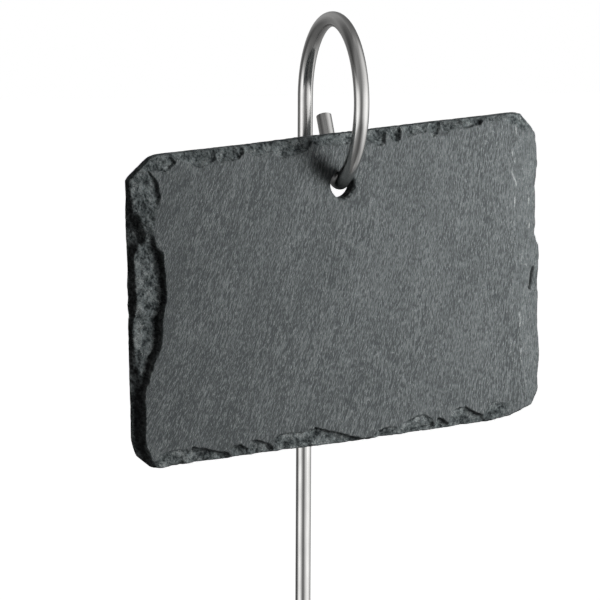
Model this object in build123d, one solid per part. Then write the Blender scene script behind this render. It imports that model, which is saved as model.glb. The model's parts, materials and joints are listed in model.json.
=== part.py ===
from build123d import *
import os
from math import cos, radians, sin, sqrt

# Plant label stake: a slate plaque that hangs from the looped end of one bent steel wire.
# Lengths are millimetres. +Z is up along the stake, -Y is the side that the slate faces,
# and z = 0 on the stake's axis is where it leaves the soil.

# The wire and how much of it stands above and below the soil
wire_diameter = 4.0
height_above_soil = 210.0
buried_length = 110.0
point_length = 9.0
point_end_diameter = 1.2
tail_end_chamfer = 0.5

# The loop, on the wire's centre line. It leaves the top of the straight shank, goes over
# the top and down the front, and ends in a hook whose tail leans back.
loop_radius = 21.0
loop_end_angle = 58.0      # degrees below the frontmost point, where the wire leaves the loop
hook_run_length = 4.2      # short straight stretch that carries on from the loop
hook_bend_radius = 4.8
tail_lean = 29.0           # degrees from upright, towards the shank
tail_length = 16.0

# The slate
slate_width = 121.2
slate_height = 81.2
slate_thickness = 3.6
rim_thickness = 1.6        # what the chipped front edges leave of the thickness at the outline
hole_diameter = 7.4
hole_below_top = 13.25
hole_right_of_centre = 0.7
hole_cut_overrun = 2.0

# How the slate hangs: a little askew, with the top wall of its hole in the hook's bend
seat_gap = 0.3
slate_turn = 10.0          # degrees about the upright, left side forward
slate_tilt = 4.9           # degrees, top forward and bottom back towards the shank
slate_roll = 4.5           # degrees, right side up

# The slate's corners in half widths and half heights, clockwise from the left end of its
# top left cut: outline across, outline up, front face across, front face up
slate_corner_shares = [
    (-0.998, 0.855, -0.900, 0.790),
    (-0.876, 0.990, -0.834, 0.906),
    (-0.324, 0.996, -0.346, 0.950),
    (0.468, 1.000, 0.446, 0.958),
    (0.923, 0.998, 0.850, 0.950),
    (0.961, 0.931, 0.868, 0.911),
    (0.992, 0.845, 0.875, 0.825),
    (1.000, 0.704, 0.868, 0.690),
    (0.989, 0.219, 0.868, 0.222),
    (1.000, -0.017, 0.861, -0.025),
    (0.995, -0.261, 0.856, -0.266),
    (1.000, -0.606, 0.853, -0.596),
    (0.992, -0.842, 0.858, -0.798),
    (0.946, -0.926, 0.835, -0.852),
    (0.854, -0.973, 0.767, -0.872),
    (0.745, -0.998, 0.660, -0.877),
    (0.196, -1.000, 0.198, -0.931),
    (-0.319, -0.993, -0.338, -0.872),
    (-0.907, -0.995, -0.866, -0.887),
    (-0.974, -0.897, -0.941, -0.837),
    (-1.000, -0.778, -0.967, -0.749),
    (-1.000, -0.362, -0.939, -0.379),
    (-0.995, -0.005, -0.863, -0.022),
    (-0.998, 0.429, -0.884, 0.419),
]

wire_radius = wire_diameter / 2
hole_radius = hole_diameter / 2
loop_centre_height = height_above_soil - loop_radius - wire_radius


def in_loop_plane(forward, up):
    """A point given by how far it lies in front of the loop's centre and above it."""
    return Vector(0, -loop_radius - forward, loop_centre_height + up)


def arc_point(centre_forward, centre_up, radius, angle):
    """A point on an arc in the loop's plane. Angle 0 is the front and 90 degrees the top."""
    forward = centre_forward + radius * cos(radians(angle))
    up = centre_up + radius * sin(radians(angle))
    return in_loop_plane(forward, up)


# The hook's bend follows from the loop: its centre lies on the inner side of the straight run
end_cos = cos(radians(loop_end_angle))
end_sin = sin(radians(loop_end_angle))
run_end_forward = loop_radius * end_cos - hook_run_length * end_sin
run_end_up = -loop_radius * end_sin - hook_run_length * end_cos
bend_forward = run_end_forward - hook_bend_radius * end_cos
bend_up = run_end_up + hook_bend_radius * end_sin
bend_centre = in_loop_plane(bend_forward, bend_up)
bend_start_angle = -loop_end_angle
bend_end_angle = tail_lean - 180
bend_middle_angle = (bend_start_angle + bend_end_angle) / 2


def wire_path():
    """The wire's centre line, from the top of its point to the end of the hook's tail."""
    shank_foot = Vector(0, 0, point_length - buried_length)
    shank_top = arc_point(0, 0, loop_radius, 180)
    loop_middle = arc_point(0, 0, loop_radius, (180 - loop_end_angle) / 2)
    loop_end = arc_point(0, 0, loop_radius, -loop_end_angle)
    run_end = in_loop_plane(run_end_forward, run_end_up)
    bend_middle = arc_point(bend_forward, bend_up, hook_bend_radius, bend_middle_angle)
    bend_end = arc_point(bend_forward, bend_up, hook_bend_radius, bend_end_angle)
    tail_direction = Vector(0, sin(radians(tail_lean)), cos(radians(tail_lean)))
    tail_end = bend_end + tail_direction * tail_length
    edges = [
        Edge.make_line(shank_foot, shank_top),
        Edge.make_three_point_arc(shank_top, loop_middle, loop_end),
        Edge.make_line(loop_end, run_end),
        Edge.make_three_point_arc(run_end, bend_middle, bend_end),
        Edge.make_line(bend_end, tail_end),
    ]
    return Wire(edges), tail_end


def make_wire_stake():
    """The whole stake: point, shank, loop and hook are one wire."""
    path, tail_end = wire_path()
    section = Plane(origin=path @ 0, z_dir=path % 0) * Circle(wire_radius)
    wire = sweep(section, path=path)
    tail_end_edge = wire.edges().filter_by(GeomType.CIRCLE).sort_by_distance(tail_end)[0]
    wire = chamfer(tail_end_edge, tail_end_chamfer)
    point_base = Plane(origin=(0, 0, -buried_length))
    point = Solid.make_cone(point_end_diameter / 2, wire_radius, point_length, plane=point_base)
    return wire + point


def slate_polygon(across_column, up_column, depth):
    """One closed outline in the slate's own frame, at a depth behind the slate's middle."""
    corners = []
    for row in slate_corner_shares:
        across = row[across_column] * slate_width / 2
        up = row[up_column] * slate_height / 2
        corners.append((across, depth, up))
    return make_face(Polyline(*corners, close=True))


def slate_place():
    """Where the middle of the hole lies: its upper wall is a chord across the hook's bend."""
    inner_radius = hook_bend_radius - wire_radius - seat_gap
    seat_drop = sqrt(inner_radius ** 2 - (slate_thickness / 2) ** 2)
    turned = Rot(0, 0, slate_turn) * Rot(slate_tilt, 0, 0)
    # The slate rolls about the middle of its round hole, which stays under the bend
    return Pos(bend_centre) * turned * Pos(0, 0, -seat_drop - hole_radius) * Rot(0, -slate_roll, 0)


def make_slate_plaque():
    """The slate: a flat back and rim, chipped edges that slope to the front face, and a hole."""
    half = slate_thickness / 2
    rim = extrude(slate_polygon(0, 1, half), amount=rim_thickness, dir=(0, -1, 0))
    rim_front = slate_polygon(0, 1, half - rim_thickness)
    front_face = slate_polygon(2, 3, -half)
    slate = rim + loft([rim_front, front_face], ruled=True)
    # From here on the middle of the hole is the slate's own origin
    slate = Pos(-hole_right_of_centre, 0, hole_below_top - slate_height / 2) * slate
    slate -= Rot(90, 0, 0) * Cylinder(hole_radius, slate_thickness + hole_cut_overrun)
    return slate_place() * slate


parts = {
    "wire_stake": make_wire_stake(),
    "slate_plaque": make_slate_plaque(),
}

os.makedirs("parts", exist_ok=True)
for name, shape in parts.items():
    export_step(shape, f"parts/{name}.step")

print("overall length", height_above_soil + buried_length)
print("swing axis through", bend_centre)
print("middle of the hole at", slate_place().position)
print("straight shank from", point_length - buried_length, "to", loop_centre_height)
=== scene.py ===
import json
import math

import bmesh
import bpy
import numpy as np
from mathutils import Matrix, Vector
from mathutils.geometry import delaunay_2d_cdt


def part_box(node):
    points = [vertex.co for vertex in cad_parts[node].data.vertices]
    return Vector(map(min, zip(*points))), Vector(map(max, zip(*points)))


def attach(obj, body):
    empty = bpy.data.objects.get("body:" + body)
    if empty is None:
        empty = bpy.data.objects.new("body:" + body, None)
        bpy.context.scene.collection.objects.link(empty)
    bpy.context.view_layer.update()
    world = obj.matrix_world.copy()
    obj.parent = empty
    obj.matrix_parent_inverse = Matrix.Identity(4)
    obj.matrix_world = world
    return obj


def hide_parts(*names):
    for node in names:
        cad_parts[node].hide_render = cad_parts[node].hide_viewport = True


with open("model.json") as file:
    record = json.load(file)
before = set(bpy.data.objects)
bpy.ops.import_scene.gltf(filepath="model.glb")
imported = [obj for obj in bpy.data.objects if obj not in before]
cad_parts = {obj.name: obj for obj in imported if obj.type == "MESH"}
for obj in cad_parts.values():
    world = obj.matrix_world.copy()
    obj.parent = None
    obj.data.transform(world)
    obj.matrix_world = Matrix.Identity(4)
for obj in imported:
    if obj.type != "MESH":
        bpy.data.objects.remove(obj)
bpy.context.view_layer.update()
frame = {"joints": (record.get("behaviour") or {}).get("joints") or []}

# Plant label stake: a slate plaque on the hooked loop of a bent stainless steel wire.
# Blender's metres are used in the scene, and millimetres inside the two shape sections.
MM = 0.001
scene = bpy.context.scene
swing_axis = Vector(frame["joints"][0]["pos_m"])
stake_low, stake_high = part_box("wire_stake")


# Camera: the photograph's viewpoint, worked out from the loop, the shank and the slate

CAMERA_AZIMUTH = -19.924
CAMERA_ELEVATION = 4.691
CAMERA_ROLL = 0.274
CAMERA_DISTANCE = 1.5
PIXELS_PER_METRE = 3828.0
IMAGE_PIXELS = 600
SENSOR_MM = 36.0
AIM_RIGHT = -0.001131
AIM_UP = -0.053098
LOOP_RADIUS = 21.0
WIRE_RADIUS = 1.985
LOOP_CENTRE_Z = stake_high.z - (LOOP_RADIUS + WIRE_RADIUS) * MM


def add_camera():
    azimuth = math.radians(CAMERA_AZIMUTH)
    elevation = math.radians(CAMERA_ELEVATION)
    roll = math.radians(CAMERA_ROLL)
    back = Vector((
        math.sin(azimuth) * math.cos(elevation),
        -math.cos(azimuth) * math.cos(elevation),
        math.sin(elevation),
    ))
    right = Vector((math.cos(azimuth), math.sin(azimuth), 0))
    up = back.cross(right)
    image_right = math.cos(roll) * right + math.sin(roll) * up
    image_up = -math.sin(roll) * right + math.cos(roll) * up
    aim = AIM_RIGHT * right + AIM_UP * up + Vector((0, 0, LOOP_CENTRE_Z))
    camera = bpy.data.objects.new("camera", bpy.data.cameras.new("camera"))
    scene.collection.objects.link(camera)
    camera.matrix_world = Matrix.Translation(aim + back * CAMERA_DISTANCE) @ Matrix((
        (image_right.x, image_up.x, back.x, 0),
        (image_right.y, image_up.y, back.y, 0),
        (image_right.z, image_up.z, back.z, 0),
        (0, 0, 0, 1),
    ))
    camera.data.sensor_width = SENSOR_MM
    camera.data.lens = SENSOR_MM * PIXELS_PER_METRE * CAMERA_DISTANCE / IMAGE_PIXELS
    camera.data.clip_end = 50
    scene.camera = camera


class Graph:
    """The nodes of a material or world, with a short call for each kind that is used here."""

    def __init__(self, owner):
        owner.use_nodes = True
        self.nodes = owner.node_tree.nodes
        self.links = owner.node_tree.links

    def add(self, kind, **settings):
        node = self.nodes.new(kind)
        for key, value in settings.items():
            setattr(node, key, value)
        return node

    def feed(self, value, socket):
        """Links another node's output to the socket, or sets the socket to a plain value."""
        if isinstance(value, bpy.types.NodeSocket):
            self.links.new(value, socket)
        elif socket.type == "RGBA":
            socket.default_value = (*value, 1)
        else:
            socket.default_value = value

    def result(self, kind, output, sockets, **settings):
        """A new node's output, with its input sockets fed by name or number."""
        node = self.add(kind, **settings)
        for name, value in sockets.items():
            self.feed(value, node.inputs[name])
        return node.outputs[output]

    def attribute(self, name, output="Fac"):
        return self.result("ShaderNodeAttribute", output, {}, attribute_name=name)

    def scaled(self, vector, scale):
        """Coordinates scaled by the three numbers. A small one draws a pattern out that way."""
        return self.result("ShaderNodeMapping", "Vector", {"Vector": vector, "Scale": scale})

    def noise(self, vector, scale, detail, roughness):
        sockets = {"Vector": vector, "Scale": scale, "Detail": detail, "Roughness": roughness}
        return self.result("ShaderNodeTexNoise", "Fac", sockets)

    def remap(self, value, from_low, from_high, to_low, to_high):
        return self.result("ShaderNodeMapRange", "Result", {
            "Value": value, "From Min": from_low, "From Max": from_high,
            "To Min": to_low, "To Max": to_high,
        })

    def math(self, operation, first, second):
        return self.result("ShaderNodeMath", "Value", {0: first, 1: second}, operation=operation)

    def mix(self, factor, first, second):
        """A mix of two colours."""
        node = self.add("ShaderNodeMix", data_type="RGBA")
        colours = [socket for socket in node.inputs if socket.type == "RGBA"]
        for value, socket in zip((factor, first, second), (node.inputs["Factor"], *colours)):
            self.feed(value, socket)
        return [socket for socket in node.outputs if socket.type == "RGBA"][0]

    def bump(self, height, strength, distance, normal=None):
        sockets = {"Height": height, "Strength": strength, "Distance": distance}
        if normal is not None:
            sockets["Normal"] = normal
        return self.result("ShaderNodeBump", "Normal", sockets)


def new_material(name):
    material = bpy.data.materials.new(name)
    graph = Graph(material)
    return material, graph, graph.nodes["Principled BSDF"]


# The slate's shape, in millimetres from the middle of the slate: across to the right and up

SLATE_HALF_WIDTH = 60.6
SLATE_HALF_HEIGHT = 40.6
SLATE_THICKNESS = 3.6
HOLE_RADIUS = 3.7
HOLE_CENTRE = np.array([0.7, 27.35])
SLATE_TURN = 10.0
SLATE_TILT = 4.9
SLATE_ROLL = 4.5
HOOK_INNER_RADIUS = 2.5
FINE_SPACING = 0.34
COARSE_SPACING = 0.6
BACK_SPACING = 1.2
FINE_MARGIN = 1.0
OUTLINE_SPACING = 0.4
RIM_LAND = 0.25
RIM_ROWS = 4
HOLE_ROWS = 3
RIM_BITE = 0.16
OUTLINE_ROUNDING = 0.1
NICK_DEPTH = 0.1
HOLE_STEPS = 72
GRID_ROW = 0.866
GRID_JITTER = 0.12
NOISE_CELLS = 256

# How far across the long broken left edge reaches, and the outline's part of it
LEFT_BREAK_END = -40.0
LEFT_OUTLINE_END = -53.0
# Where the right edge's smoother break starts across, and the height that it stays below
RIGHT_BREAK_START = 49.0
RIGHT_BREAK_TOP = 37.0
# How far noise moves the lines of the left edge, the chips and the marks, and its size
LEFT_WANDER = (0.25, 2.4)
CHIP_WANDER = (0.18, 1.6)
MARK_WANDER = (0.12, 1.2)
# The slopes of the left edge at which its shading starts and is full, and the depth for full
SLOPE_STEP = 0.15
SHADE_SLOPES = (0.27, 0.62)
SHADE_DEPTH = 1.2
# Width and depth of the bevel between the chips, which is shallower at the top's right end
BEVEL_REACH = 5.0
RIGHT_BEVEL = (1.3, 0.6)
BOTTOM_BEVEL = (1.1, 1.3)
TOP_BEVEL = (0.9, 0.6)
TOP_BEVEL_LOSS = 0.3
TOP_BEVEL_LOSS_START = 25.0
# The hole is a little short of round on one side, and its rim is chipped towards another
HOLE_SHORT = 0.5
HOLE_SHORT_TURN = 213.0
HOLE_CHIP = 0.5
HOLE_CHIP_TOWARDS = np.array([0.75, -0.66])
# Broken stone: the heights of its layers and splinters, its facets by height and size, its
# grit, and the depth of a crack
LAYER = 0.3
SPLINTER = 0.16
FACETS = [(0.4, 2.8), (0.2, 1.1)]
GRIT = 0.035
CRACK_DEPTH = 0.6
# The riven face: how its waves are drawn out along the grain, their heights and sizes, and
# how deep their middle lies
GRAIN_STRETCH = (1.0, 4.5)
RIVEN_WAVES = [(0.04, 1.5), (0.11, 9.0)]
RIVEN_MEAN = 0.14

# Clockwise from the left end of the top left cut
OUTLINE = [
    (-60.53, 34.9), (-53.4, 40.45), (-36.0, 40.4), (-25.0, 40.35), (-12.0, 40.6), (4.0, 40.6),
    (28.35, 40.7), (44.0, 40.65), (55.5, 40.7), (58.1, 37.6), (59.75, 34.9), (60.3, 30.4),
    (60.5, 26.4), (59.6, 21.4), (59.7, 15.0), (59.5, 10.6), (59.1, 8.2), (60.4, 4.8),
    (60.5, -1.5), (60.1, -5.5), (60.1, -8.4), (59.6, -12.4), (59.9, -18.0), (60.4, -24.0),
    (59.6, -30.0), (59.8, -33.6), (57.4, -37.9), (51.9, -39.9), (45.15, -40.65), (30.0, -40.65),
    (11.85, -40.65), (-4.0, -40.75), (-19.35, -40.25), (-38.0, -40.35), (-50.0, -40.3),
    (-54.6, -40.4), (-55.7, -40.1), (-59.6, -36.6), (-60.8, -32.4), (-60.7, -24.0), (-60.75, -14.7),
    (-60.75, -3.0), (-60.5, -0.2), (-60.75, 2.5), (-60.5, 4.5), (-60.7, 7.5), (-60.4, 11.5),
    (-60.65, 20.0), (-60.65, 27.0), (-60.4, 31.0),
]

# The long broken left edge as cross-sections from top to bottom: how far up, where the flat
# face ends, the foot of the wall below it and the foot's depth, where the ledge ends and its
# depth, and the depth at the outline
LEFT_SECTIONS = [
    (41.0, -52.6, -52.8, 0.2, -54.0, 0.3, 0.9),
    (36.9, -55.2, -55.4, 0.4, -59.9, 0.5, 0.7),
    (34.4, -53.2, -53.6, 0.8, -60.2, 0.5, 0.7),
    (32.3, -52.5, -52.9, 0.8, -60.2, 0.5, 0.7),
    (30.4, -52.0, -52.4, 0.55, -60.2, 0.5, 0.8),
    (28.7, -52.3, -53.4, 0.4, -60.0, 0.6, 1.3),
    (26.7, -52.7, -54.2, 0.3, -59.5, 0.9, 2.2),
    (24.7, -53.1, -54.6, 0.3, -59.0, 1.1, 3.0),
    (22.7, -53.6, -55.0, 0.35, -58.0, 1.2, 3.1),
    (20.6, -54.0, -55.0, 0.5, -56.9, 1.3, 3.1),
    (19.1, -54.0, -54.5, 0.9, -56.8, 1.3, 3.2),
    (17.5, -53.8, -54.7, 1.4, -57.9, 1.6, 3.3),
    (15.8, -51.9, -52.7, 1.8, -58.8, 1.7, 3.3),
    (13.2, -51.6, -52.2, 1.8, -59.0, 1.7, 3.3),
    (8.5, -51.3, -51.9, 1.8, -59.0, 1.7, 3.3),
    (3.3, -51.0, -51.6, 1.7, -59.1, 1.6, 3.3),
    (1.3, -51.5, -52.1, 1.6, -59.2, 1.6, 3.3),
    (-0.2, -52.1, -52.6, 1.6, -59.3, 1.7, 3.3),
    (-1.2, -52.2, -53.2, 2.1, -59.8, 2.2, 3.3),
    (-4.3, -52.5, -53.5, 2.0, -59.9, 2.1, 3.3),
    (-7.9, -52.6, -53.9, 2.0, -59.8, 2.1, 3.3),
    (-9.4, -52.9, -54.6, 2.0, -59.2, 2.1, 3.3),
    (-11.3, -54.3, -55.5, 1.9, -59.0, 2.1, 3.3),
    (-15.5, -56.3, -57.1, 1.9, -58.7, 2.1, 3.3),
    (-18.7, -57.4, -58.1, 2.0, -58.3, 2.2, 3.3),
    (-21.8, -57.9, -58.8, 2.3, -59.6, 2.9, 3.3),
    (-29.6, -58.1, -59.0, 2.4, -59.8, 3.0, 3.3),
    (-33.5, -58.0, -58.6, 2.3, -59.4, 2.9, 3.3),
    (-36.4, -57.2, -57.8, 2.2, -58.4, 2.8, 3.2),
    (-38.4, -56.3, -56.7, 1.8, -57.1, 2.4, 3.0),
    (-41.0, -54.4, -54.8, 1.4, -55.2, 1.8, 2.4),
]

# Chips broken out of the other front edges. Each is an open line, the chip's inner boundary
# on the front face with its ends beyond the outline, then: the depth just past the boundary's
# wall, the wall's width, and how steeply the chip falls away beyond the wall.
CHIPS = [
    # top edge, from the left
    ([(-62, 36), (-55.2, 36.7), (-52.8, 36.6), (-51.4, 35.9), (-49.9, 36.3), (-48.4, 37.3),
      (-47.3, 38.1), (-48.5, 39.6), (-49.1, 43)], 0.55, 0.6, 0.08),
    ([(-49.0, 43), (-48.7, 40.2), (-46.6, 38.9), (-44.1, 37.5), (-42.5, 36.9), (-40.0, 35.9),
      (-37.4, 36.5), (-35.8, 37.8), (-35.2, 43)], 0.5, 0.6, 0.2),
    ([(-36.4, 43), (-35.6, 37.3), (-34.4, 36.8), (-31.4, 36.9), (-28.8, 37.5), (-27.6, 38.9),
      (-27.2, 43)], 0.45, 0.5, 0.25),
    ([(-28.2, 43), (-27.4, 38.2), (-25.0, 37.5), (-20.7, 37.3), (-18.9, 38.4), (-18.4, 43)],
     0.35, 0.5, 0.25),
    ([(-19.6, 43), (-19.0, 37.2), (-16.4, 36.1), (-12.1, 36.4), (-9.6, 37.4), (-7.9, 38.6),
      (-7.4, 43)], 0.6, 0.7, 0.2),
    ([(-8.2, 43), (-7.2, 38.6), (-4.6, 38.2), (-0.5, 37.7), (2.9, 37.8), (5.6, 38.8), (6.4, 43)],
     0.35, 0.6, 0.3),
    ([(6.6, 43), (7.4, 38.6), (9.1, 37.7), (12.2, 36.3), (13.9, 36.9), (14.4, 39.0), (14.9, 43)],
     0.75, 0.8, 0.2),
    ([(14.7, 43), (15.0, 38.6), (17.0, 36.5), (18.6, 37.3), (18.9, 40.2), (19.3, 43)],
     0.7, 0.7, 0.2),
    ([(19.2, 43), (19.6, 38.8), (21.0, 37.6), (23.7, 38.3), (26.6, 38.4), (27.4, 43)],
     0.35, 0.5, 0.3),
    ([(26.6, 43), (27.2, 38.4), (28.4, 36.9), (29.9, 37.4), (30.6, 39.6), (31.2, 43)],
     0.65, 0.6, 0.2),
    ([(30.8, 43), (31.4, 38.4), (32.5, 37.5), (35.2, 38.3), (39.0, 38.2), (42.9, 38.8),
      (44.2, 40.4), (45.0, 43)], 0.85, 0.9, 0.2),
    ([(43.8, 43), (44.2, 39.9), (46.4, 39.5), (50.5, 39.0), (53.6, 37.3), (56.0, 35.6), (64, 34),
      (64, 43)], 0.25, 0.4, 0.12),
    ([(46.0, 43), (47.2, 40.9), (51.0, 40.2), (54.6, 38.6), (57.0, 36.6), (64, 35.8), (64, 43)],
     0.45, 0.6, 0.3),
    # right edge, from the top
    ([(70, 36.5), (56.2, 36.0), (53.6, 33.4), (52.3, 30.2), (53.1, 28.2), (52.0, 25.6),
      (53.3, 21.9), (52.9, 17.7), (52.8, 13.0), (52.8, 11.1), (53.4, 8.6), (52.6, 3.4),
      (53.0, 0.6), (52.0, -4.4), (52.9, -6.9), (53.7, -12.5), (54.1, -17.2), (54.5, -21.2),
      (54.2, -24.3), (54.4, -28.3), (55.7, -33.2), (57.4, -36.0), (61, -43), (70, -43)],
     0.2, 0.3, 0.03),
    ([(70, 31.0), (59.0, 29.6), (57.8, 26.0), (58.3, 21.4), (57.6, 17.2), (57.3, 13.3),
      (59.0, 8.8), (70, 8.4)], 0.5, 0.6, 0.1),
    ([(70, 1.0), (55.2, -0.1), (52.6, -2.6), (51.2, -5.9), (51.8, -8.4), (54.0, -9.6),
      (70, -10.4)], 0.25, 0.35, 0.02),
    ([(70, 2.4), (59.6, 1.2), (58.2, -1.0), (57.5, -2.7), (57.0, -5.4), (58.4, -7.4), (70, -8.2)],
     0.9, 0.6, 0.05),
    ([(70, -15.8), (58.8, -17.4), (57.4, -21.6), (58.0, -27.0), (57.4, -31.0), (59.4, -35.6),
      (62, -43), (70, -43)], 0.5, 0.6, 0.1),
    # bottom edge, from the right
    ([(41.5, -43), (42.8, -39.2), (49.2, -38.6), (53.8, -37.2), (57.0, -35.3), (64, -33),
      (64, -43)], 0.4, 0.5, 0.1),
    ([(41.6, -43), (42.4, -38.2), (44.7, -35.4), (48.8, -35.9), (51.5, -35.5), (54.4, -36.6),
      (56, -43)], 0.2, 0.4, 0.1),
    ([(31.8, -43), (32.2, -38.2), (33.2, -36.3), (34.8, -35.5), (37.0, -35.4), (38.8, -36.6),
      (40.6, -37.6), (42.9, -38.5), (44.6, -43)], 1.1, 0.8, 0.2),
    ([(27.4, -43), (27.7, -38.4), (28.5, -37.1), (29.8, -37.6), (31.1, -38.8), (33.4, -39.9),
      (34, -43)], 0.9, 0.7, 0.25),
    ([(15.3, -43), (15.6, -39.0), (17.4, -37.4), (20.4, -36.6), (24.5, -35.8), (25.8, -36.6),
      (26.7, -37.3), (27.2, -39.0), (27.6, -43)], 0.65, 0.9, 0.25),
    ([(8.4, -43), (9.2, -39.2), (10.2, -38.4), (13.3, -37.8), (15.5, -38.3), (16.8, -39.3),
      (17.6, -43)], 0.95, 0.7, 0.3),
    ([(-9.6, -43), (-9.3, -36.4), (-8.6, -35.1), (-7.3, -35.6), (-4.3, -36.5), (-1.7, -37.3),
      (1.3, -38.6), (4.8, -39.6), (6.2, -43)], 1.1, 0.7, 0.2),
    ([(-21.4, -43), (-20.9, -38.7), (-20.4, -36.5), (-18.6, -35.7), (-16.0, -35.6),
      (-12.5, -36.0), (-9.0, -35.5), (-8.4, -38.0), (-8, -43)], 0.45, 0.6, 0.12),
    ([(-28.6, -43), (-28.3, -37.4), (-27.7, -36.3), (-26.5, -36.4), (-24.2, -37.0),
      (-21.7, -38.0), (-20.9, -38.9), (-20.2, -43)], 0.9, 0.7, 0.25),
    ([(-33.6, -43), (-33.2, -37.8), (-32.5, -36.8), (-30.8, -36.9), (-29.1, -38.0),
      (-27.4, -39.0), (-26.6, -43)], 0.8, 0.7, 0.2),
    ([(-47.5, -43), (-46.2, -37.6), (-44.5, -35.7), (-39.4, -37.1), (-35.1, -38.4),
      (-33.4, -39.4), (-32.6, -43)], 1.0, 0.8, 0.3),
    ([(-57.4, -43), (-56.1, -38.4), (-53.9, -36.7), (-49.6, -35.8), (-46.2, -36.0),
      (-45.0, -38.5), (-44.4, -43)], 0.3, 0.5, 0.15),
]

# Lines that darken the stone with painted shade, each with its reach to either side and its
# strength on the line, of which no more than 1 counts. These are cracks, painted black within.
CRACKS = [
    ([(-59.2, 25.4), (-58.2, 22.7), (-57.3, 20.3), (-57.2, 18.6)], 1.2, 2.2),
    ([(58.5, -1.0), (58.0, -3.4), (57.5, -6.2)], 0.75, 2.2),
]
# The few chip edges with a painted highlight, where a step faces the light
HIGHLIGHT_REACH = 0.3
HIGHLIGHT_LINES = [
    [(53.7, 37.5), (53.7, 35.3)],
    [(52.5, 30.7), (53.2, 28.0)],
    [(52.2, 26.0), (52.8, 24.0), (53.6, 21.8)],
    [(53.0, 18.4), (52.9, 16.4)],
    [(52.7, 13.7), (52.8, 11.3)],
    [(53.2, 1.4), (56.3, 0.2)],
    [(53.9, -12.1), (54.0, -15.9)],
    [(54.1, -20.6), (54.2, -26.4)],
    [(44.3, -35.1), (46.5, -35.5)],
    [(57.5, 21.2), (57.3, 10.0)],
]
# Softer painted shade: in hollows of the top edge, and the wire's shadow painted on the stone
# beside the hole
PAINTED_SHADE_LINES = [
    ([(33.5, 39.9), (38.0, 39.8)], 1.3, 0.6),
    ([(46.6, 40.3), (51.2, 40.0)], 0.9, 0.55),
    ([(29.4, 37.8), (32.4, 37.7)], 0.9, 0.5),
    ([(-2.2, 29.8), (-3.4, 30.6), (-5.0, 33.0)], 4.2, 0.7),
]
GRAIN_LEAN_LEFT = 27.0
GRAIN_LEAN_RIGHT = 6.0
RANDOM_SEED = 7


def value_noise(points, size, seed):
    """Smooth noise from -1 to 1 with features about `size` millimetres across."""
    generator = np.random.default_rng(seed)
    table = generator.uniform(-1, 1, (NOISE_CELLS, NOISE_CELLS))
    scaled = points / size + 2 * NOISE_CELLS
    cell = np.floor(scaled).astype(int)
    part = scaled - cell
    part = part * part * (3 - 2 * part)
    corners = [
        table[tuple(((cell + (i, j)) % NOISE_CELLS).T)] for i in (0, 1) for j in (0, 1)
    ]
    low = corners[0] + (corners[1] - corners[0]) * part[:, 1]
    high = corners[2] + (corners[3] - corners[2]) * part[:, 1]
    return low + (high - low) * part[:, 0]


def rough_noise(points, size, seed, octaves=3):
    total = np.zeros(len(points))
    for k in range(octaves):
        total += value_noise(points, size / 2 ** k, seed + k) / 2 ** k
    return total


def segment_distance(points, line):
    """Distance from each point to an open polyline."""
    best = np.full(len(points), np.inf)
    for a, b in zip(line[:-1], line[1:]):
        run = b - a
        share = np.clip(((points - a) @ run) / (run @ run), 0, 1)
        gap = np.linalg.norm(points - a - share[:, None] * run, axis=1)
        best = np.minimum(best, gap)
    return best


def inside_polygon(points, polygon):
    x, y = points[:, 0], points[:, 1]
    inside = np.zeros(len(points), bool)
    for (ax, ay), (bx, by) in zip(polygon, np.roll(polygon, -1, axis=0)):
        crosses = (ay > y) != (by > y)
        where = (bx - ax) * (y - ay) / (by - ay + 1e-12) + ax
        inside ^= crosses & (x < where)
    return inside


def grain_coordinates(points):
    """Across and along the grain, which leans over more towards the left side."""
    left, middle, right = (
        math.tan(math.radians(lean))
        for lean in (GRAIN_LEAN_LEFT, (GRAIN_LEAN_LEFT + GRAIN_LEAN_RIGHT) / 2, GRAIN_LEAN_RIGHT)
    )
    x, up = points[:, 0], points[:, 1]
    lean = middle - (left - right) * x / (2 * SLATE_HALF_WIDTH)
    return np.stack([x - lean * up, up + lean * x], 1)


def wandered(points, wander, seed):
    """The points, moved by smooth noise of the wander's reach and size."""
    reach, size = wander
    noises = [rough_noise(points, size, seed), rough_noise(points, size, seed + 10)]
    return points + reach * np.stack(noises, 1)


def left_depth(points):
    """The broken left edge, blended between its cross-sections."""
    moved = wandered(points, LEFT_WANDER, RANDOM_SEED + 500)
    sections = np.array(LEFT_SECTIONS[::-1])
    up, columns = sections[:, 0], sections[:, 1:].T
    face, foot, foot_depth, ledge, ledge_depth, rim_depth = (
        np.interp(moved[:, 1], up, column) for column in columns
    )
    left_side = sorted((y, x) for x, y in OUTLINE if x < LEFT_OUTLINE_END)
    edge = np.interp(points[:, 1], [y for y, _ in left_side], [x for _, x in left_side])
    x = moved[:, 0]
    # the lines keep their order and a little distance
    ledge = np.maximum(ledge, edge + 0.3)
    foot = np.maximum(foot, ledge + 0.05)
    face = np.maximum(face, foot + 0.1)
    depth = foot_depth * np.clip((face - x) / (face - foot), 0, 1)
    depth += (ledge_depth - foot_depth) * np.clip((foot - x) / (foot - ledge), 0, 1)
    depth += (rim_depth - ledge_depth) * np.clip((ledge - x) / (ledge - edge), 0, 1)
    return np.where(points[:, 0] < LEFT_BREAK_END, depth, 0)


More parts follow.
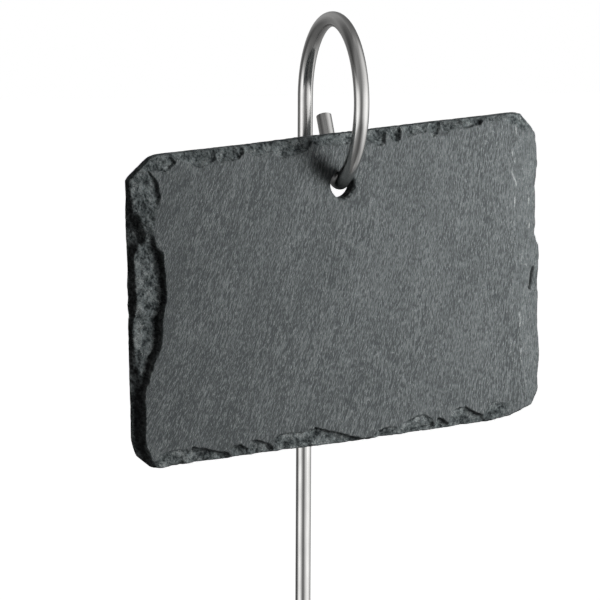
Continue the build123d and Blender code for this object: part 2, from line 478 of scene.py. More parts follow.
def chip_depth(points):
    """The other chips: how deep each point lies under the front plane."""
    depth = np.zeros(len(points))
    moved = wandered(points, CHIP_WANDER, RANDOM_SEED + 10)
    for number, (line, wall_depth, wall_width, fall) in enumerate(CHIPS):
        line = np.array(line, float)
        low, high = line.min(axis=0) - 1, line.max(axis=0) + 1
        near = np.all((moved > low) & (moved < high), axis=1)
        part = moved[near]
        reach = np.where(inside_polygon(part, line), segment_distance(part, line), 0)
        wall = np.clip(reach / wall_width, 0, 1)
        wall = wall * (2 - wall)
        rough = 1 + 0.3 * rough_noise(part, 3.5, RANDOM_SEED + 40 + 7 * number)
        depth[near] = np.maximum(depth[near], wall_depth * wall * rough + fall * reach)
    return depth


def nearness(points, line, reach):
    """1 on the line, falling to 0 at the reach from it."""
    return np.clip(1 - segment_distance(points, np.array(line, float)) / reach, 0, 1)


def strongest(points, marks):
    """The strongest mark at each point, at most 1."""
    strengths = [strength * nearness(points, line, reach) for line, reach, strength in marks]
    return np.clip(np.maximum.reduce(strengths), 0, 1)


def left_shade(points):
    """1 where the broken left edge falls away steeply and deep, so that little light reaches it."""
    aside = np.array([SLOPE_STEP, 0.0])
    outer, inner = left_depth(points - aside), left_depth(points + aside)
    slope = (outer - inner) / (2 * SLOPE_STEP)
    start, full = SHADE_SLOPES
    steepness = np.clip((slope - start) / (full - start), 0, 1)
    return steepness * np.clip((outer + inner) / 2 / SHADE_DEPTH, 0.3, 1)


def bevel_depth(points, outline):
    """The narrow bevel that the top, right and bottom edges also have between the chips."""
    gap, nearest = np.full(len(points), np.inf), np.zeros(len(points), int)
    inner = np.array([SLATE_HALF_WIDTH, SLATE_HALF_HEIGHT]) - BEVEL_REACH
    near = np.flatnonzero(np.any(np.abs(points) > inner, axis=1))
    # in blocks, which keeps the table of distances small
    for block in np.array_split(near, 40):
        between = np.linalg.norm(points[block][:, None] - outline[None], axis=2)
        nearest[block] = between.argmin(axis=1)
        gap[block] = between.min(axis=1)
    at_right = outline[nearest, 0] > 0.95 * SLATE_HALF_WIDTH
    at_bottom = outline[nearest, 1] < -0.93 * SLATE_HALF_HEIGHT
    width, deep = (
        np.where(at_right, right, np.where(at_bottom, bottom, top))
        for right, bottom, top in zip(RIGHT_BEVEL, BOTTOM_BEVEL, TOP_BEVEL)
    )
    lost = TOP_BEVEL_LOSS * np.clip((points[:, 0] - TOP_BEVEL_LOSS_START) / 10, 0, 1)
    deep = deep - np.where(at_right | at_bottom, 0, lost)
    width = width * (1 + 0.35 * rough_noise(points, 5.0, RANDOM_SEED + 90))
    deep = deep * (1 + 0.3 * rough_noise(points, 2.5, RANDOM_SEED + 95))
    return deep * np.clip(1 - gap / width, 0, 1)


def hole_loop():
    """The drilled hole, a little short of round at its lower left."""
    turns = np.linspace(0, 2 * math.pi, HOLE_STEPS, endpoint=False)
    short = HOLE_SHORT * np.clip(np.cos(turns - math.radians(HOLE_SHORT_TURN)), 0, 1) ** 2
    return HOLE_CENTRE + (HOLE_RADIUS - short)[:, None] * np.stack([np.cos(turns), np.sin(turns)], 1)


def hole_depth(points):
    """The drill broke a little stone out of the lower right of the hole's rim."""
    offset = points - HOLE_CENTRE
    reach = np.linalg.norm(offset, axis=1)
    towards = np.clip(1.6 * (offset @ HOLE_CHIP_TOWARDS) / reach, 0, 1)
    return HOLE_CHIP * towards * np.clip(1 - (reach - HOLE_RADIUS) / HOLE_CHIP, 0, 1)


def broken_relief(points, depth):
    """Broken slate steps down in thin layers and splinters."""
    uneven = depth + SPLINTER * rough_noise(points, 1.3, RANDOM_SEED + 140)
    stepped = LAYER * (np.floor(uneven / LAYER) + np.clip((uneven / LAYER % 1) * 3, 0, 1))
    relief = 0.7 * (stepped - depth)
    for k, (height, size) in enumerate(FACETS):
        relief += height * np.abs(rough_noise(points, size, RANDOM_SEED + 150 + 10 * k, 2))
    return relief + GRIT * np.random.default_rng(RANDOM_SEED + 170).uniform(-1, 1, len(points))


def riven_relief(points):
    """The riven face's low waves along the grain."""
    grain = grain_coordinates(points) / GRAIN_STRETCH
    return RIVEN_MEAN + sum(
        height * rough_noise(grain, size, RANDOM_SEED + 130 + 5 * k, 2)
        for k, (height, size) in enumerate(RIVEN_WAVES)
    )


def front_depth(points, outline):
    """Depth under the front plane, and the marks that the stone's colours follow."""
    depth = np.maximum.reduce([
        chip_depth(points), left_depth(points), bevel_depth(points, outline), hole_depth(points),
    ])
    moved = wandered(points, MARK_WANDER, RANDOM_SEED + 30)
    crack = strongest(moved, CRACKS)
    # the right edge is broken along the grain, which leaves it nearly as smooth as the face
    at_right = np.clip((points[:, 0] - RIGHT_BREAK_START) / 2, 0, 1)
    at_right = at_right * np.clip((RIGHT_BREAK_TOP - points[:, 1]) / 2, 0, 1)
    broken = np.clip(depth / 0.2, 0, 1) * (1 - 0.75 * at_right)
    marks = {
        "chipped": broken,
        # painted highlights on the chip edges that face the light
        "painted_highlight": np.maximum.reduce([nearness(moved, line, HIGHLIGHT_REACH) for line in HIGHLIGHT_LINES]),
        # painted shade: the steep left edge, cracks, hollows, and the wire's shadow beside the hole
        "painted_shade": np.maximum.reduce([left_shade(points), crack, strongest(moved, PAINTED_SHADE_LINES)]),
        # pale: painted light on the right edge's bevel, which faces the lamp
        "pale": np.clip(depth / 0.15, 0, 1) * at_right,
    }
    depth = depth + broken * broken_relief(points, depth) + CRACK_DEPTH * crack
    depth = depth + (1 - 0.6 * broken) * riven_relief(points)
    return np.clip(depth, 0, SLATE_THICKNESS - RIM_LAND), marks


def rounded(points, share, rounds=2):
    """Cuts each corner, twice, which keeps the outline inside its own corners."""
    for _ in range(rounds):
        following = np.roll(points, -1, axis=0)
        first = points * (1 - share) + following * share
        second = points * share + following * (1 - share)
        points = np.stack([first, second], 1).reshape(-1, 2)
    return points


def slate_outline():
    corners = rounded(np.array(OUTLINE, float), OUTLINE_ROUNDING)
    dense = []
    for a, b in zip(corners, np.roll(corners, -1, axis=0)):
        steps = max(1, int(np.linalg.norm(b - a) / OUTLINE_SPACING))
        dense.extend(a + (b - a) * k / steps for k in range(steps))
    dense = np.array(dense)
    # small nicks, inward only
    towards_middle = -dense / np.linalg.norm(dense, axis=1)[:, None]
    nick = np.abs(rough_noise(dense, 2.0, RANDOM_SEED + 200)) * NICK_DEPTH
    return dense + towards_middle * nick[:, None]


def hex_grid(spacing, seed):
    generator = np.random.default_rng(seed)
    rows = int(2 * SLATE_HALF_HEIGHT / (spacing * GRID_ROW)) + 2
    columns = int(2 * SLATE_HALF_WIDTH / spacing) + 2
    j, i = np.mgrid[0:rows, 0:columns]
    x = -SLATE_HALF_WIDTH + (i + 0.5 * (j % 2)) * spacing
    y = -SLATE_HALF_HEIGHT + j * spacing * GRID_ROW
    grid = np.stack([x.ravel(), y.ravel()], 1)
    return grid + generator.uniform(-GRID_JITTER, GRID_JITTER, grid.shape) * spacing


def triangulate(fixed_loops, loose):
    """Triangles over the slate, with the outline and the hole kept as edges."""
    points = np.vstack([*fixed_loops, loose])
    edges, start = [], 0
    for loop in fixed_loops:
        count = len(loop)
        edges += [(start + k, start + (k + 1) % count) for k in range(count)]
        start += count
    verts, _, faces, sources, _, _ = delaunay_2d_cdt([Vector(p) for p in points], edges, [], 0, 1e-6)
    verts = np.array([tuple(v) for v in verts])
    faces = np.array([tuple(f) for f in faces])
    middle = verts[faces].mean(axis=1)
    in_slate = inside_polygon(middle, fixed_loops[0])
    in_hole = inside_polygon(middle, fixed_loops[1])
    faces = faces[in_slate & ~in_hole]
    index_of = {}
    for new, source in enumerate(sources):
        for old in source:
            index_of[old] = new
    return verts, faces, index_of


def loose_points(outline, spacing, seed):
    """An even grid over the slate, clear of its outline and its hole."""
    grid = hex_grid(spacing, seed)
    closed = np.vstack([outline, outline[:1]])
    keep = inside_polygon(grid, outline) & (segment_distance(grid, closed) > 0.4 * spacing)
    keep &= np.linalg.norm(grid - HOLE_CENTRE, axis=1) > HOLE_RADIUS + 0.5 * spacing
    return grid[keep]


def near_chips(points):
    """Which points lie at an edge, at the hole or in a chip, where the faces are fine."""
    found = np.abs(points[:, 1]) > SLATE_HALF_HEIGHT - FINE_MARGIN
    found |= np.abs(points[:, 0]) > SLATE_HALF_WIDTH - FINE_MARGIN
    found |= np.linalg.norm(points - HOLE_CENTRE, axis=1) < HOLE_RADIUS + FINE_MARGIN
    sections = np.array(LEFT_SECTIONS[::-1])
    found |= points[:, 0] < np.interp(points[:, 1], sections[:, 0], sections[:, 1]) + FINE_MARGIN
    for line, *_ in CHIPS:
        line = np.array(line, float)
        found |= inside_polygon(points, line) | (segment_distance(points, line) < FINE_MARGIN)
    return found


def back_relief(points, on_rim):
    """How far the back lies inside its plane: low waves along the grain, and an uneven rim."""
    grain = grain_coordinates(points * (-1, 1)) / GRAIN_STRETCH
    waves = 0.05 + 0.03 * rough_noise(grain, 3.0, RANDOM_SEED + 300)
    rim = 0.07 + 0.07 * rough_noise(points, 2.0, RANDOM_SEED + 310)
    return np.clip(np.where(on_rim, rim, waves), 0, 0.3)


def bitten(points, row):
    """A row of the outer side, with bites out of the stone towards the slate's middle."""
    shifted = points[:, [0, 2]] + (3 * row, -5 * row)
    bite = RIM_BITE * np.abs(rough_noise(shifted, 1.8, RANDOM_SEED + 400))
    outward = points * (1, 0, 1)
    return points - bite[:, None] * outward / np.linalg.norm(outward, axis=1)[:, None]


def add_side(verts, faces, tops, bottoms, rows, shaped):
    """Rows of faces between a loop of the front and the same loop of the back."""
    count = len(tops)
    levels = [tops]
    for row in range(1, rows):
        share = row / rows
        points = np.array([verts[a] * (1 - share) + verts[b] * share for a, b in zip(tops, bottoms)])
        levels.append(list(range(len(verts), len(verts) + count)))
        verts.extend(shaped(points, row))
    levels.append(bottoms)
    for upper, lower in zip(levels, levels[1:]):
        for k in range(count):
            n = (k + 1) % count
            faces.append((upper[k], upper[n], lower[n], lower[k]))


def slate_geometry():
    """Points of the front, then of the back and the sides, the faces, and each point's marks."""
    loops = [slate_outline(), hole_loop()]
    outline, hole = loops
    fine = loose_points(outline, FINE_SPACING, RANDOM_SEED)
    coarse = loose_points(outline, COARSE_SPACING, RANDOM_SEED + 1)
    loose = np.vstack([fine[near_chips(fine)], coarse[~near_chips(coarse)]])
    flat, front_faces, front_index = triangulate(loops, loose)
    depth, front_marks = front_depth(flat, outline)
    back_loose = loose_points(outline, BACK_SPACING, RANDOM_SEED + 2)
    back_flat, back_faces, back_index = triangulate(loops, back_loose)
    on_rim = np.zeros(len(back_flat), bool)
    on_rim[[back_index[k] for k in range(len(outline) + len(hole))]] = True

    half = SLATE_THICKNESS / 2
    front = np.stack([flat[:, 0], -half + depth, flat[:, 1]], 1)
    back = np.stack([back_flat[:, 0], half - back_relief(back_flat, on_rim), back_flat[:, 1]], 1)
    verts = [*front, *back]
    faces = [tuple(f) for f in front_faces] + [tuple(len(front) + f[::-1]) for f in back_faces]
    start = 0
    for loop, rows, shaped in (
        (outline, RIM_ROWS, bitten),
        (hole, HOLE_ROWS, lambda points, row: points),
    ):
        numbers = range(start, start + len(loop))
        tops = [front_index[k] for k in numbers]
        bottoms = [len(front) + back_index[k] for k in numbers]
        add_side(verts, faces, tops, bottoms, rows, shaped)
        start += len(loop)

    marks = {name: np.zeros(len(verts)) for name in front_marks}
    marks["chipped"][len(front) + len(back):] = 1
    for name, values in front_marks.items():
        marks[name][:len(front)] = values
    return np.array(verts), faces, marks


def slate_placement():
    """The hole's upper wall sits like a chord in the bend of the hook, with the slate askew."""
    seat_drop = math.sqrt(HOOK_INNER_RADIUS ** 2 - (SLATE_THICKNESS / 2) ** 2)
    turned = (
        Matrix.Rotation(math.radians(SLATE_TURN), 4, "Z")
        @ Matrix.Rotation(math.radians(SLATE_TILT), 4, "X")
    )
    hang = Matrix.Translation((0, 0, -(seat_drop + HOLE_RADIUS) * MM))
    rolled = Matrix.Rotation(math.radians(-SLATE_ROLL), 4, "Y")
    hole_offset = Matrix.Translation((-HOLE_CENTRE[0] * MM, 0, -HOLE_CENTRE[1] * MM))
    return Matrix.Translation(swing_axis) @ turned @ hang @ rolled @ hole_offset


def add_attribute(mesh, name, kind, field, values):
    attribute = mesh.attributes.new(name, kind, "POINT")
    attribute.data.foreach_set(field, np.asarray(values, np.float32).ravel())


def painted_facing_shade(mesh, placement):
    """Painted shade by how far each point turns from the slate's plane, less so where it faces up.
    """
    normals = np.array([v.normal for v in mesh.vertices])
    axes = np.array(placement.to_3x3())
    facing = np.abs(normals @ axes[:, 1])
    upward = np.clip(normals @ axes[:, 2], 0, 1)
    return 0.85 * np.clip((0.85 - facing) / 0.4, 0, 1) * (1 - 0.8 * upward)


def build_slate():
    verts, faces, marks = slate_geometry()
    placement = slate_placement()
    mesh = bpy.data.meshes.new("slate")
    placed = [placement @ Vector(v * MM) for v in verts]
    mesh.from_pydata(placed, [], [tuple(int(i) for i in f) for f in faces])
    grain = grain_coordinates(verts[:, [0, 2]])
    grain = np.stack([grain[:, 0], verts[:, 1], grain[:, 1]], 1)
    add_attribute(mesh, "grain", "FLOAT_VECTOR", "vector", grain)
    # painted shade on the walls and sides that turn away from the light
    marks["painted_shade"] = np.maximum(marks["painted_shade"], painted_facing_shade(mesh, placement))
    for name, values in marks.items():
        add_attribute(mesh, name, "FLOAT", "value", values)
    working = bmesh.new()
    working.from_mesh(mesh)
    bmesh.ops.recalc_face_normals(working, faces=working.faces)
    # broken stone is faceted, and the riven face is smooth
    for face in working.faces:
        face.smooth = all(marks["chipped"][v.index] < 0.6 for v in face.verts)
    working.to_mesh(mesh)
    working.free()
    mesh.set_sharp_from_angle(angle=math.radians(38))
    mesh.materials.append(slate_material())
    slate = bpy.data.objects.new("slate", mesh)
    scene.collection.objects.link(slate)
    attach(slate, "slate")
    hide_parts("slate_plaque")


# Colours of the riven face, of broken stone, of painted shade, and of painted highlights on chip
# edges
FACE_DARK = (0.086, 0.095, 0.097)
FACE_PALE = (0.196, 0.212, 0.215)
FLECK = (0.33, 0.35, 0.35)
BROKEN_DARK = (0.033, 0.038, 0.04)
BROKEN_PALE = (0.205, 0.231, 0.232)
CRUMB = (0.35, 0.365, 0.362)
PAINTED_SHADE_COLOUR = (0.012, 0.0125, 0.013)
HIGHLIGHT_COLOUR = (0.52, 0.54, 0.535)


def slate_material():
    """Coordinates are millimetres across the grain, through the slate and along the grain."""
    material, graph, shader = new_material("riven_slate")
    grain = graph.attribute("grain", "Vector")
    chipped = graph.attribute("chipped")
    streaks = graph.noise(graph.scaled(grain, (1, 1, 0.11)), 2.6, 2, 0.6)
    threads = graph.noise(graph.scaled(grain, (1, 1, 0.19)), 4.4, 2, 0.6)
    broad = graph.noise(graph.scaled(grain, (1, 1, 0.35)), 0.13, 4, 0.6)
    dashes = graph.noise(graph.scaled(grain, (1, 1, 0.4)), 1.1, 2, 0.6)
    specks = graph.noise(grain, 3.2, 1, 0.5)
    crumbs = graph.noise(grain, 1.1, 4, 0.62)
    patches = graph.noise(grain, 0.35, 2, 0.6)

    # the riven face: darker gaps and paler threads along the grain, livelier in patches
    tone = graph.remap(streaks, 0.32, 0.68, -0.5, 0.5)
    tone = graph.math("ADD", tone, graph.remap(threads, 0.3, 0.7, -1, 1))
    tone = graph.math("MULTIPLY", tone, graph.remap(patches, 0.35, 0.65, 0.7, 1.3))
    # it varies broadly, with painted shade at its lower left and painted light at its right edge
    place = graph.add("ShaderNodeSeparateXYZ")
    graph.feed(grain, place.inputs["Vector"])
    for added in (
        graph.remap(broad, 0.35, 0.65, 0.27, 0.6),
        graph.remap(place.outputs["X"], -60, 20, -0.13, 0.02),
        graph.remap(place.outputs["Z"], -45, 20, -0.1, 0.03),
        graph.math("MULTIPLY", graph.attribute("pale"), 0.3),
    ):
        tone = graph.math("ADD", tone, added)
    face_colour = graph.mix(tone, FACE_DARK, FACE_PALE)
    flecks = graph.remap(graph.math("MULTIPLY", specks, threads), 0.34, 0.44, 0, 0.8)
    face_colour = graph.mix(flecks, face_colour, FLECK)

    # broken stone: dark gaps, a mottled middle and pale crumbs
    broken_tone = graph.math("ADD", crumbs, graph.remap(patches, 0.35, 0.65, -0.12, 0.12))
    broken_colour = graph.mix(graph.remap(broken_tone, 0.32, 0.68, 0, 1), BROKEN_DARK, BROKEN_PALE)
    pale_crumbs = graph.remap(graph.math("MULTIPLY", specks, patches), 0.31, 0.37, 0, 0.7)
    broken_colour = graph.mix(pale_crumbs, broken_colour, CRUMB)
    colour = graph.mix(chipped, face_colour, broken_colour)

    # painted shade: steep stone, cracks, hollows, the wire's shadow; then painted edge highlights
    dark = graph.remap(crumbs, 0.35, 0.65, 0.97, 0.78)
    dark = graph.math("MULTIPLY", graph.attribute("painted_shade"), dark)
    colour = graph.mix(dark, colour, PAINTED_SHADE_COLOUR)
    edge = graph.math("MULTIPLY", graph.attribute("painted_highlight"), graph.remap(dashes, 0.47, 0.6, 0, 1))
    graph.feed(graph.mix(edge, colour, HIGHLIGHT_COLOUR), shader.inputs["Base Color"])
    shader.inputs["Specular IOR Level"].default_value = 0.04
    graph.feed(graph.remap(specks, 0.35, 0.75, 0.9, 0.65), shader.inputs["Roughness"])
    normal = graph.bump(streaks, 0.8, 0.00012)
    normal = graph.bump(threads, 0.9, 0.0002, normal)
    normal = graph.bump(graph.math("MULTIPLY", crumbs, chipped), 0.8, 0.0006, normal)
    graph.feed(normal, shader.inputs["Normal"])
    return material


# The wire's shape, in millimetres: its centre line lies in the plane across the slate

LOOP_END_ANGLE = 58.0
HOOK_RUN = 4.2
HOOK_BEND_RADIUS = 4.8
TAIL_LEAN = 29.0
TAIL_LENGTH = 16.0
POINT_LENGTH = 9.0
POINT_END_RADIUS = 0.6
WIRE_SEGMENTS = 40
LOOP_STEP_DEGREES = 3.0
SHANK_STEPS = 40
BEND_STEPS = 30
TAIL_STEPS = 12
# Rings of the tail's sheared end: how far each lies inside the wire's surface, and how far it
# stands out of the bevel's foot
TAIL_END_RINGS = [(0.12, 0.0), (0.3, 0.05), (1.1, 0.12), (1.8, 0.14)]
TAIL_END_DOME = 0.14
# Painted shade on the hook where it hangs in the slate's hole: places along the wire from the
# bend's middle, and how dark it is painted at each
HOOK_SHADE_PLACES = [-13.0, -5.0, -3.9, 4.5, 7.5]
HOOK_SHADE_SHARES = [0.0, 0.45, 1.0, 1.0, 0.0]


def wire_centre_line():
    """Points of the centre line as (forward, up) from the loop's centre, from tip to tail."""
    tip_up = (stake_low.z - LOOP_CENTRE_Z) / MM
    points = [(-LOOP_RADIUS, tip_up), (-LOOP_RADIUS, tip_up + POINT_LENGTH)]
    points += [(-LOOP_RADIUS, tip_up * (1 - k / SHANK_STEPS)) for k in range(2, SHANK_STEPS)]
    sweep = 180 + LOOP_END_ANGLE
    count = int(sweep / LOOP_STEP_DEGREES)
    for k in range(count + 1):
        angle = math.radians(180 - sweep * k / count)
        points.append((LOOP_RADIUS * math.cos(angle), LOOP_RADIUS * math.sin(angle)))
    end = math.radians(LOOP_END_ANGLE)
    forward, up = points[-1]
    forward -= HOOK_RUN * math.sin(end)
    up -= HOOK_RUN * math.cos(end)
    bend = (forward - HOOK_BEND_RADIUS * math.cos(end), up + HOOK_BEND_RADIUS * math.sin(end))
    bend_sweep = 180 - LOOP_END_ANGLE - TAIL_LEAN
    for k in range(BEND_STEPS + 1):
        angle = math.radians(-LOOP_END_ANGLE - bend_sweep * k / BEND_STEPS)
        points.append((
            bend[0] + HOOK_BEND_RADIUS * math.cos(angle),
            bend[1] + HOOK_BEND_RADIUS * math.sin(angle),
        ))
    lean = math.radians(TAIL_LEAN)
    forward, up = points[-1]
    for k in range(1, TAIL_STEPS + 1):
        reach = TAIL_LENGTH * k / TAIL_STEPS
        points.append((forward - math.sin(lean) * reach, up + math.cos(lean) * reach))
    return points


def wire_sections():
    """The wire's round sections from tip to tail: centre, direction, radius, place along it."""
    centres = [Vector((0, -LOOP_RADIUS - f, LOOP_CENTRE_Z / MM + u)) for f, u in wire_centre_line()]
    sections, place = [], 0.0
    for k, centre in enumerate(centres):
        before = centres[max(k - 1, 0)]
        after = centres[min(k + 1, len(centres) - 1)]
        place += (centre - before).length
        radius = POINT_END_RADIUS if k == 0 else WIRE_RADIUS
        sections.append((centre, (after - before).normalized(), radius, place))
    tail = (centres[-1] - centres[-2]).normalized()
    for inset, out in TAIL_END_RINGS:
        centre = centres[-1] - tail * (TAIL_END_DOME - out)
        sections.append((centre, tail, WIRE_RADIUS - inset, place + inset))
    return sections


def add_ring(working, centre, tangent, radius):
    """The points of one round section."""
    side = Vector((1, 0, 0))
    lift = side.cross(tangent).normalized()
    ring = []
    for k in range(WIRE_SEGMENTS):
        angle = 2 * math.pi * k / WIRE_SEGMENTS
        offset = (side * math.cos(angle) + lift * math.sin(angle)) * radius
        ring.append(working.verts.new((centre + offset) * MM))
    return ring


def wire_mesh(sections):
    """The wire's skin, with a map in metres around and along it."""
    working = bmesh.new()
    layer = working.loops.layers.uv.new("along_wire")
    rings = [add_ring(working, *section[:3]) for section in sections]
    places = [section[3] for section in sections]
    girth = 2 * math.pi * WIRE_RADIUS
    for lower, upper, low, high in zip(rings, rings[1:], places, places[1:]):
        for k in range(WIRE_SEGMENTS):
            n = (k + 1) % WIRE_SEGMENTS
            face = working.faces.new((lower[k], lower[n], upper[n], upper[k]))
            face.smooth = True
            left, right = girth * k / WIRE_SEGMENTS, girth * (k + 1) / WIRE_SEGMENTS
            corners = ((left, low), (right, low), (right, high), (left, high))
            for loop, (around, along) in zip(face.loops, corners):
                loop[layer].uv = (around * MM, along * MM)
    working.faces.new(list(reversed(rings[0])))
    working.faces.new(rings[-1])
    bmesh.ops.recalc_face_normals(working, faces=working.faces)
    mesh = bpy.data.meshes.new("wire")
    working.to_mesh(mesh)
    working.free()
    mesh.set_sharp_from_angle(angle=math.radians(35))
    return mesh


def build_wire():
    sections = wire_sections()
    mesh = wire_mesh(sections)
    bend_middle = sections[-len(TAIL_END_RINGS) - TAIL_STEPS - BEND_STEPS // 2 - 1]
    from_bend = np.array([section[3] for section in sections]) - bend_middle[3]
    painted_hook_shade = np.interp(from_bend, HOOK_SHADE_PLACES, HOOK_SHADE_SHARES)
    add_attribute(mesh, "painted_hook_shade", "FLOAT", "value", np.repeat(painted_hook_shade, WIRE_SEGMENTS))
    mesh.materials.append(wire_material())
    wire = bpy.data.objects.new("wire", mesh)
    scene.collection.objects.link(wire)
    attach(wire, "stake")
    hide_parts("wire_stake")


# Colours of the bright wire and of the painted shade in its hook
STEEL_DARK = (0.5, 0.495, 0.485)
STEEL_PALE = (0.66, 0.655, 0.645)
STEEL_PAINTED_SHADE = (0.03, 0.03, 0.031)


def wire_material():
    """Drawn steel: fine lines along the wire, soft patches, and painted shade in the hook."""
    material, graph, shader = new_material("drawn_stainless_wire")
    uv = graph.result("ShaderNodeUVMap", "UV", {}, uv_map="along_wire")
    drawn = graph.noise(graph.scaled(uv, (1, 0.012, 1)), 5200, 3, 0.6)
    patches = graph.noise(graph.scaled(uv, (1, 0.25, 1)), 420, 3, 0.5)
    tone = graph.math("MULTIPLY", graph.math("ADD", drawn, patches), 0.5)
    tone = graph.remap(tone, 0.35, 0.65, 0, 1)
    colour = graph.mix(tone, STEEL_DARK, STEEL_PALE)
    painted_hook_shade = graph.remap(patches, 0.3, 0.7, 0.85, 0.97)
    painted_hook_shade = graph.math("MULTIPLY", graph.attribute("painted_hook_shade"), painted_hook_shade)
    graph.feed(graph.mix(painted_hook_shade, colour, STEEL_PAINTED_SHADE), shader.inputs["Base Color"])
    shader.inputs["Metallic"].default_value = 1.0
    graph.feed(graph.remap(tone, 0, 1, 0.2, 0.12), shader.inputs["Roughness"])
    graph.feed(graph.bump(drawn, 0.12, 0.00003), shader.inputs["Normal"])
    return material


# Studio: pale floor, white backdrop, three soft lamps, and a surround that the metal mirrors

STUDIO_MIDDLE = Vector((0, -0.025, LOOP_CENTRE_Z - 0.05))
# Name, azimuth and elevation in degrees, distance and size in metres, and power in watts
LAMPS = [
    ("key", 47.0, 11.0, 0.3, 0.13, 0.91),
    ("back_lamp", 150.0, 28.0, 0.7, 0.3, 3.2),
    ("top_lamp", 20.0, 72.0, 0.7, 0.3, 0.7),
]
WORLD_FILL = 0.03
FLOOR_SIZE = 12
FLOOR_COLOUR = (0.82, 0.82, 0.82)
FLOOR_GLOW_REACH = (0.2, 1.1)
FLOOR_GLOW_NEAR = 0.55
FLOOR_GLOW_FAR = 1.0
SURROUND_RADIUS = 1.0
SURROUND_TOP = 84
SURROUND_STEP_AROUND = 6
SURROUND_STEP_UP = 7
SURROUND_ELEVATIONS = [-55, -28, -12, 8, 21, 45, 65]
# Azimuth from the camera, then the grey at each of those elevations
SURROUND = [
    (-180, 0.15, 0.2, 0.28, 0.24, 0.2, 0.22, 0.24), (-158, 0.15, 0.2, 0.26, 0.4, 0.42, 0.38, 0.3),
    (-138, 0.15, 0.15, 0.15, 0.3, 0.42, 0.3, 0.2), (-112, 0.18, 0.15, 0.07, 0.18, 0.14, 0.13, 0.15),
    (-98, 0.2, 0.25, 0.12, 0.18, 0.08, 0.1, 0.15), (-84, 0.2, 0.35, 0.8, 0.75, 0.06, 0.08, 0.15),
    (-66, 0.2, 0.5, 1.7, 1.5, 0.2, 0.15, 0.15), (-45, 0.2, 0.45, 1.5, 1.35, 0.42, 0.3, 0.2),
    (-28, 0.16, 0.3, 0.8, 0.8, 0.38, 0.3, 0.28), (-12, 0.13, 0.18, 0.28, 0.28, 0.32, 0.32, 0.3),
    (3, 0.13, 0.13, 0.17, 0.2, 0.27, 0.3, 0.3), (15, 0.13, 0.13, 0.4, 0.4, 0.36, 0.32, 0.3),
    (30, 0.16, 0.3, 0.95, 0.95, 0.6, 0.45, 0.33), (48, 0.25, 0.7, 1.25, 1.25, 0.9, 0.65, 0.38),
    (66, 0.35, 1.1, 1.6, 1.6, 1.2, 0.85, 0.4), (86, 0.4, 1.2, 1.5, 1.5, 1.3, 0.95, 0.4),
    (108, 0.45, 0.9, 1.1, 1.1, 1.1, 0.8, 0.35), (130, 0.3, 0.5, 0.5, 0.4, 0.3, 0.3, 0.28),
    (155, 0.2, 0.3, 0.3, 0.16, 0.14, 0.16, 0.2), (180, 0.15, 0.2, 0.28, 0.24, 0.2, 0.22, 0.24),
]


def direction(azimuth, elevation):
    """Unit vector from the object. Azimuth 0 is the front and 90 degrees the right."""
    a, e = math.radians(azimuth), math.radians(elevation)
    return Vector((math.sin(a) * math.cos(e), -math.cos(a) * math.cos(e), math.sin(e)))


def seen_directly(graph):
    """1 for camera, glossy and transmission rays, and 0 for the rest."""
    path = graph.add("ShaderNodeLightPath")
    seen = path.outputs["Is Camera Ray"]
    for kind in ("Is Glossy Ray", "Is Transmission Ray"):
        seen = graph.math("MAXIMUM", seen, path.outputs[kind])
    return seen


def add_world():
    world = bpy.data.worlds.new("studio")
    graph = Graph(world)
    background = graph.nodes["Background"]
    background.inputs["Color"].default_value = (1, 1, 1, 1)
    strength = graph.remap(seen_directly(graph), 0, 1, WORLD_FILL, 1)
    graph.feed(strength, background.inputs["Strength"])
    scene.world = world


def floor_material():
    """Pale floor that turns to the white of the background further away, and keeps shadows."""
    material, graph, shader = new_material("floor")
    shader.inputs["Base Color"].default_value = (*FLOOR_COLOUR, 1)
    shader.inputs["Roughness"].default_value = 1.0
    shader.inputs["Specular IOR Level"].default_value = 0.0
    place = graph.result("ShaderNodeTexCoord", "Object", {})
    away = graph.result("ShaderNodeVectorMath", "Value", {0: place}, operation="LENGTH")
    glow = graph.remap(away, *FLOOR_GLOW_REACH, FLOOR_GLOW_NEAR, FLOOR_GLOW_FAR)
    glow = graph.math("MULTIPLY", glow, seen_directly(graph))
    shader.inputs["Emission Color"].default_value = (1, 1, 1, 1)
    graph.feed(glow, shader.inputs["Emission Strength"])
    return material


def add_floor():
    bpy.ops.mesh.primitive_plane_add(size=FLOOR_SIZE, location=(0, 0, stake_low.z))
    floor = bpy.context.object
    floor.name = "floor"
    floor.data.materials.append(floor_material())
    floor.visible_glossy = False


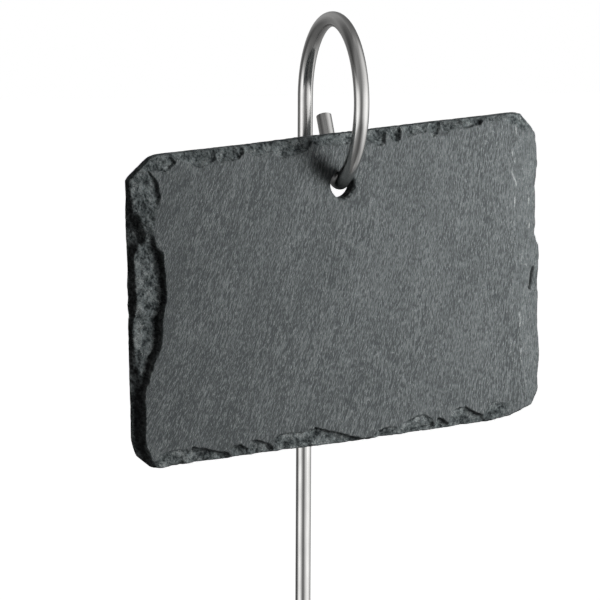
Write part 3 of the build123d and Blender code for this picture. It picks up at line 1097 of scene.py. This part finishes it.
def add_lamp(name, azimuth, elevation, distance, size, watts):
    """A round softbox, which the metal mirrors as part of the surround."""
    lamp = bpy.data.lights.new(name, "AREA")
    lamp.shape = "DISK"
    lamp.size = size
    lamp.energy = watts
    holder = bpy.data.objects.new(name, lamp)
    scene.collection.objects.link(holder)
    away = direction(azimuth, elevation)
    holder.location = STUDIO_MIDDLE + away * distance
    holder.rotation_euler = away.to_track_quat("Z", "Y").to_euler()
    holder.visible_glossy = False
    holder.visible_camera = False


def surround_grey(azimuth, elevation):
    """How bright the studio looks from the object, for an azimuth measured from the camera."""
    azimuths, *rows = np.array(SURROUND).T
    values = [np.interp(azimuth, azimuths, row) for row in rows]
    return np.interp(elevation, SURROUND_ELEVATIONS, values)


def surround_material():
    material = bpy.data.materials.new("surround")
    graph = Graph(material)
    graph.nodes.remove(graph.nodes["Principled BSDF"])
    glow = graph.result("ShaderNodeEmission", "Emission", {"Strength": graph.attribute("grey")})
    graph.feed(glow, graph.nodes["Material Output"].inputs["Surface"])
    return material


def add_surround():
    """Soft panels and dark flags all round, which only reflections see."""
    azimuths = np.arange(-180, 180, SURROUND_STEP_AROUND)
    elevations = np.arange(-SURROUND_TOP, SURROUND_TOP + 1, SURROUND_STEP_UP)
    count = len(azimuths)
    verts, greys, faces = [], [], []
    for row, elevation in enumerate(elevations):
        low, high = (row - 1) * count, row * count
        for column, azimuth in enumerate(azimuths):
            away = direction(CAMERA_AZIMUTH + azimuth, elevation)
            verts.append(STUDIO_MIDDLE + away * SURROUND_RADIUS)
            greys.append(surround_grey(azimuth, elevation))
            if row > 0:
                n = (column + 1) % count
                faces.append((low + column, low + n, high + n, high + column))
    # the two poles are closed by one face each
    faces.append(tuple(range(count)))
    faces.append(tuple(range(len(verts) - count, len(verts))))
    mesh = bpy.data.meshes.new("surround")
    mesh.from_pydata(verts, [], faces)
    add_attribute(mesh, "grey", "FLOAT", "value", greys)
    mesh.materials.append(surround_material())
    surround = bpy.data.objects.new("surround", mesh)
    scene.collection.objects.link(surround)
    surround.visible_camera = False
    surround.visible_diffuse = False
    surround.visible_transmission = False
    surround.visible_shadow = False


def add_studio():
    add_world()
    add_floor()
    for lamp in LAMPS:
        add_lamp(*lamp)
    add_surround()


add_camera()
build_slate()
build_wire()
add_studio()
scene.view_settings.view_transform = "Standard"
